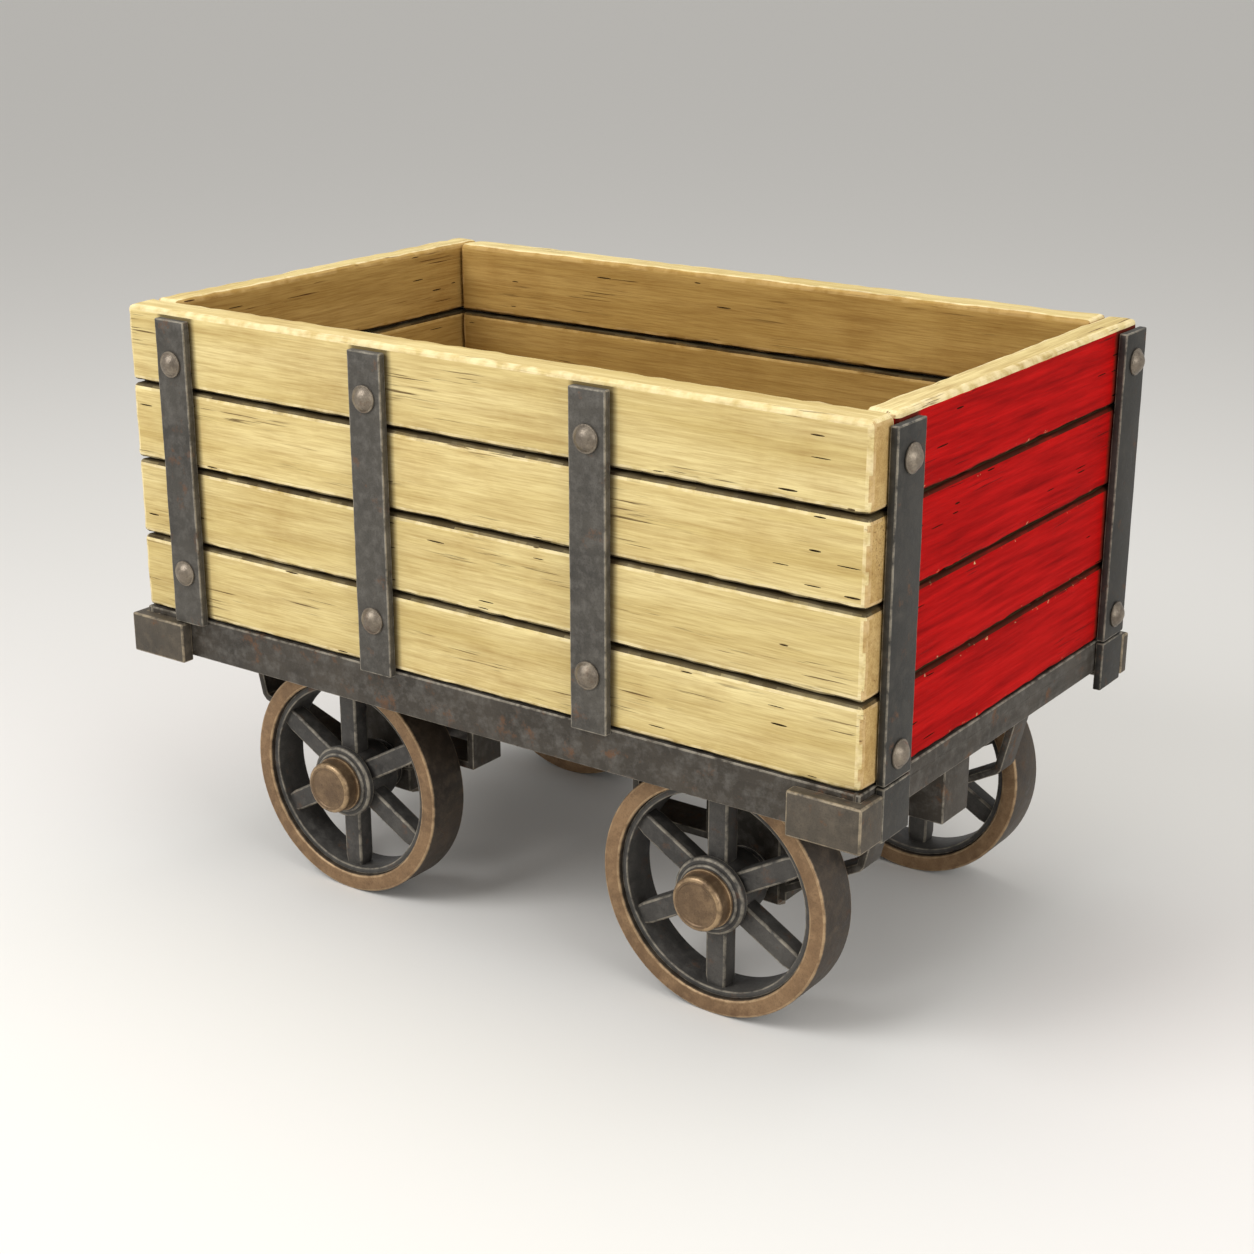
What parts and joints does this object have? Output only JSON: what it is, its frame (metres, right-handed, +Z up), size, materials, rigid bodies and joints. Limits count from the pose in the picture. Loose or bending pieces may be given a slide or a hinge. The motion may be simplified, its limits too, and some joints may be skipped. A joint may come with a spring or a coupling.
{
  "type": "mine cart",
  "caption": "Open wooden mine cart: plank box with iron straps on an iron-edged frame, spoked wheels turning loose on fixed axles.",
  "frame": {"origin": "on the ground under the middle of the cart's bounding box", "axes": "+X along the cart towards the red front end, +Y across it to the far side, +Z up"},
  "size_m": [1.396, 0.87, 0.94],
  "materials": {
    "side_wood": "weathered pale plank wood",
    "end_paint": "dull red paint on plank wood",
    "floor_wood": "worn brown wood",
    "beam_wood": "dark oiled wood",
    "frame_iron": "dark blue-grey, rust in the corners",
    "strap_iron": "dark blue-grey, edges worn bright",
    "screw_iron": "grey-brown, worn",
    "wheel_iron": "dark grey castings",
    "tyre_iron": "brown oxide, tread worn darker",
    "cap_bronze": "dull brown bronze",
    "bush_brass": "machined",
    "axle_steel": "oiled, dark"
  },
  "bodies": {
    "cart": {"near_plank_1": "side_wood", "far_plank_1": "side_wood", "front_board_1": "end_paint", "rear_board_1": "end_paint", "near_plank_2": "side_wood", "far_plank_2": "side_wood", "front_board_2": "end_paint", "rear_board_2": "end_paint", "near_plank_3": "side_wood", "far_plank_3": "side_wood", "front_board_3": "end_paint", "rear_board_3": "end_paint", "near_plank_4": "side_wood", "far_plank_4": "side_wood", "front_board_4": "end_paint", "rear_board_4": "end_paint", "floor_boards": "floor_wood", "edge_dowels": "screw_iron", "side_straps": "strap_iron", "end_straps": "strap_iron", "strap_screws": "screw_iron", "near_rail": "frame_iron", "far_rail": "frame_iron", "front_beam": "frame_iron", "rear_beam": "frame_iron", "near_bearer": "beam_wood", "far_bearer": "beam_wood", "cross_ties": "beam_wood", "corner_blocks": "frame_iron", "corner_angles": "frame_iron", "strap_feet": "strap_iron", "draw_beam": "beam_wood", "draw_shoes": "frame_iron", "deck_screws": "screw_iron", "frame_bolts": "screw_iron", "axle_pedestals": "frame_iron", "axle_keeps": "frame_iron", "axle_stays": "frame_iron", "axle_knees": "frame_iron", "gear_bolts": "screw_iron", "front_axle": "axle_steel", "rear_axle": "axle_steel", "axle_sleeves": "frame_iron", "axle_nuts": "screw_iron"},
    "front_near_wheel": {"wheel_front_near": "wheel_iron", "tyre_front_near": "tyre_iron", "cap_front_near": "cap_bronze", "bush_front_near": "bush_brass"},
    "front_far_wheel": {"wheel_front_far": "wheel_iron", "tyre_front_far": "tyre_iron", "cap_front_far": "cap_bronze", "bush_front_far": "bush_brass"},
    "rear_near_wheel": {"wheel_rear_near": "wheel_iron", "tyre_rear_near": "tyre_iron", "cap_rear_near": "cap_bronze", "bush_rear_near": "bush_brass"},
    "rear_far_wheel": {"wheel_rear_far": "wheel_iron", "tyre_rear_far": "tyre_iron", "cap_rear_far": "cap_bronze", "bush_rear_far": "bush_brass"}
  },
  "joints": [
    {"name": "front_near_wheel_spin", "type": "hinge", "parent": "cart", "child": "front_near_wheel", "pos_m": [0.395, -0.2995, 0.19], "axis": [0, 1, 0], "continuous": true},
    {"name": "front_far_wheel_spin", "type": "hinge", "parent": "cart", "child": "front_far_wheel", "pos_m": [0.395, 0.2995, 0.19], "axis": [0, 1, 0], "continuous": true},
    {"name": "rear_near_wheel_spin", "type": "hinge", "parent": "cart", "child": "rear_near_wheel", "pos_m": [-0.315, -0.2995, 0.19], "axis": [0, 1, 0], "continuous": true},
    {"name": "rear_far_wheel_spin", "type": "hinge", "parent": "cart", "child": "rear_far_wheel", "pos_m": [-0.315, 0.2995, 0.19], "axis": [0, 1, 0], "continuous": true}
  ]
}
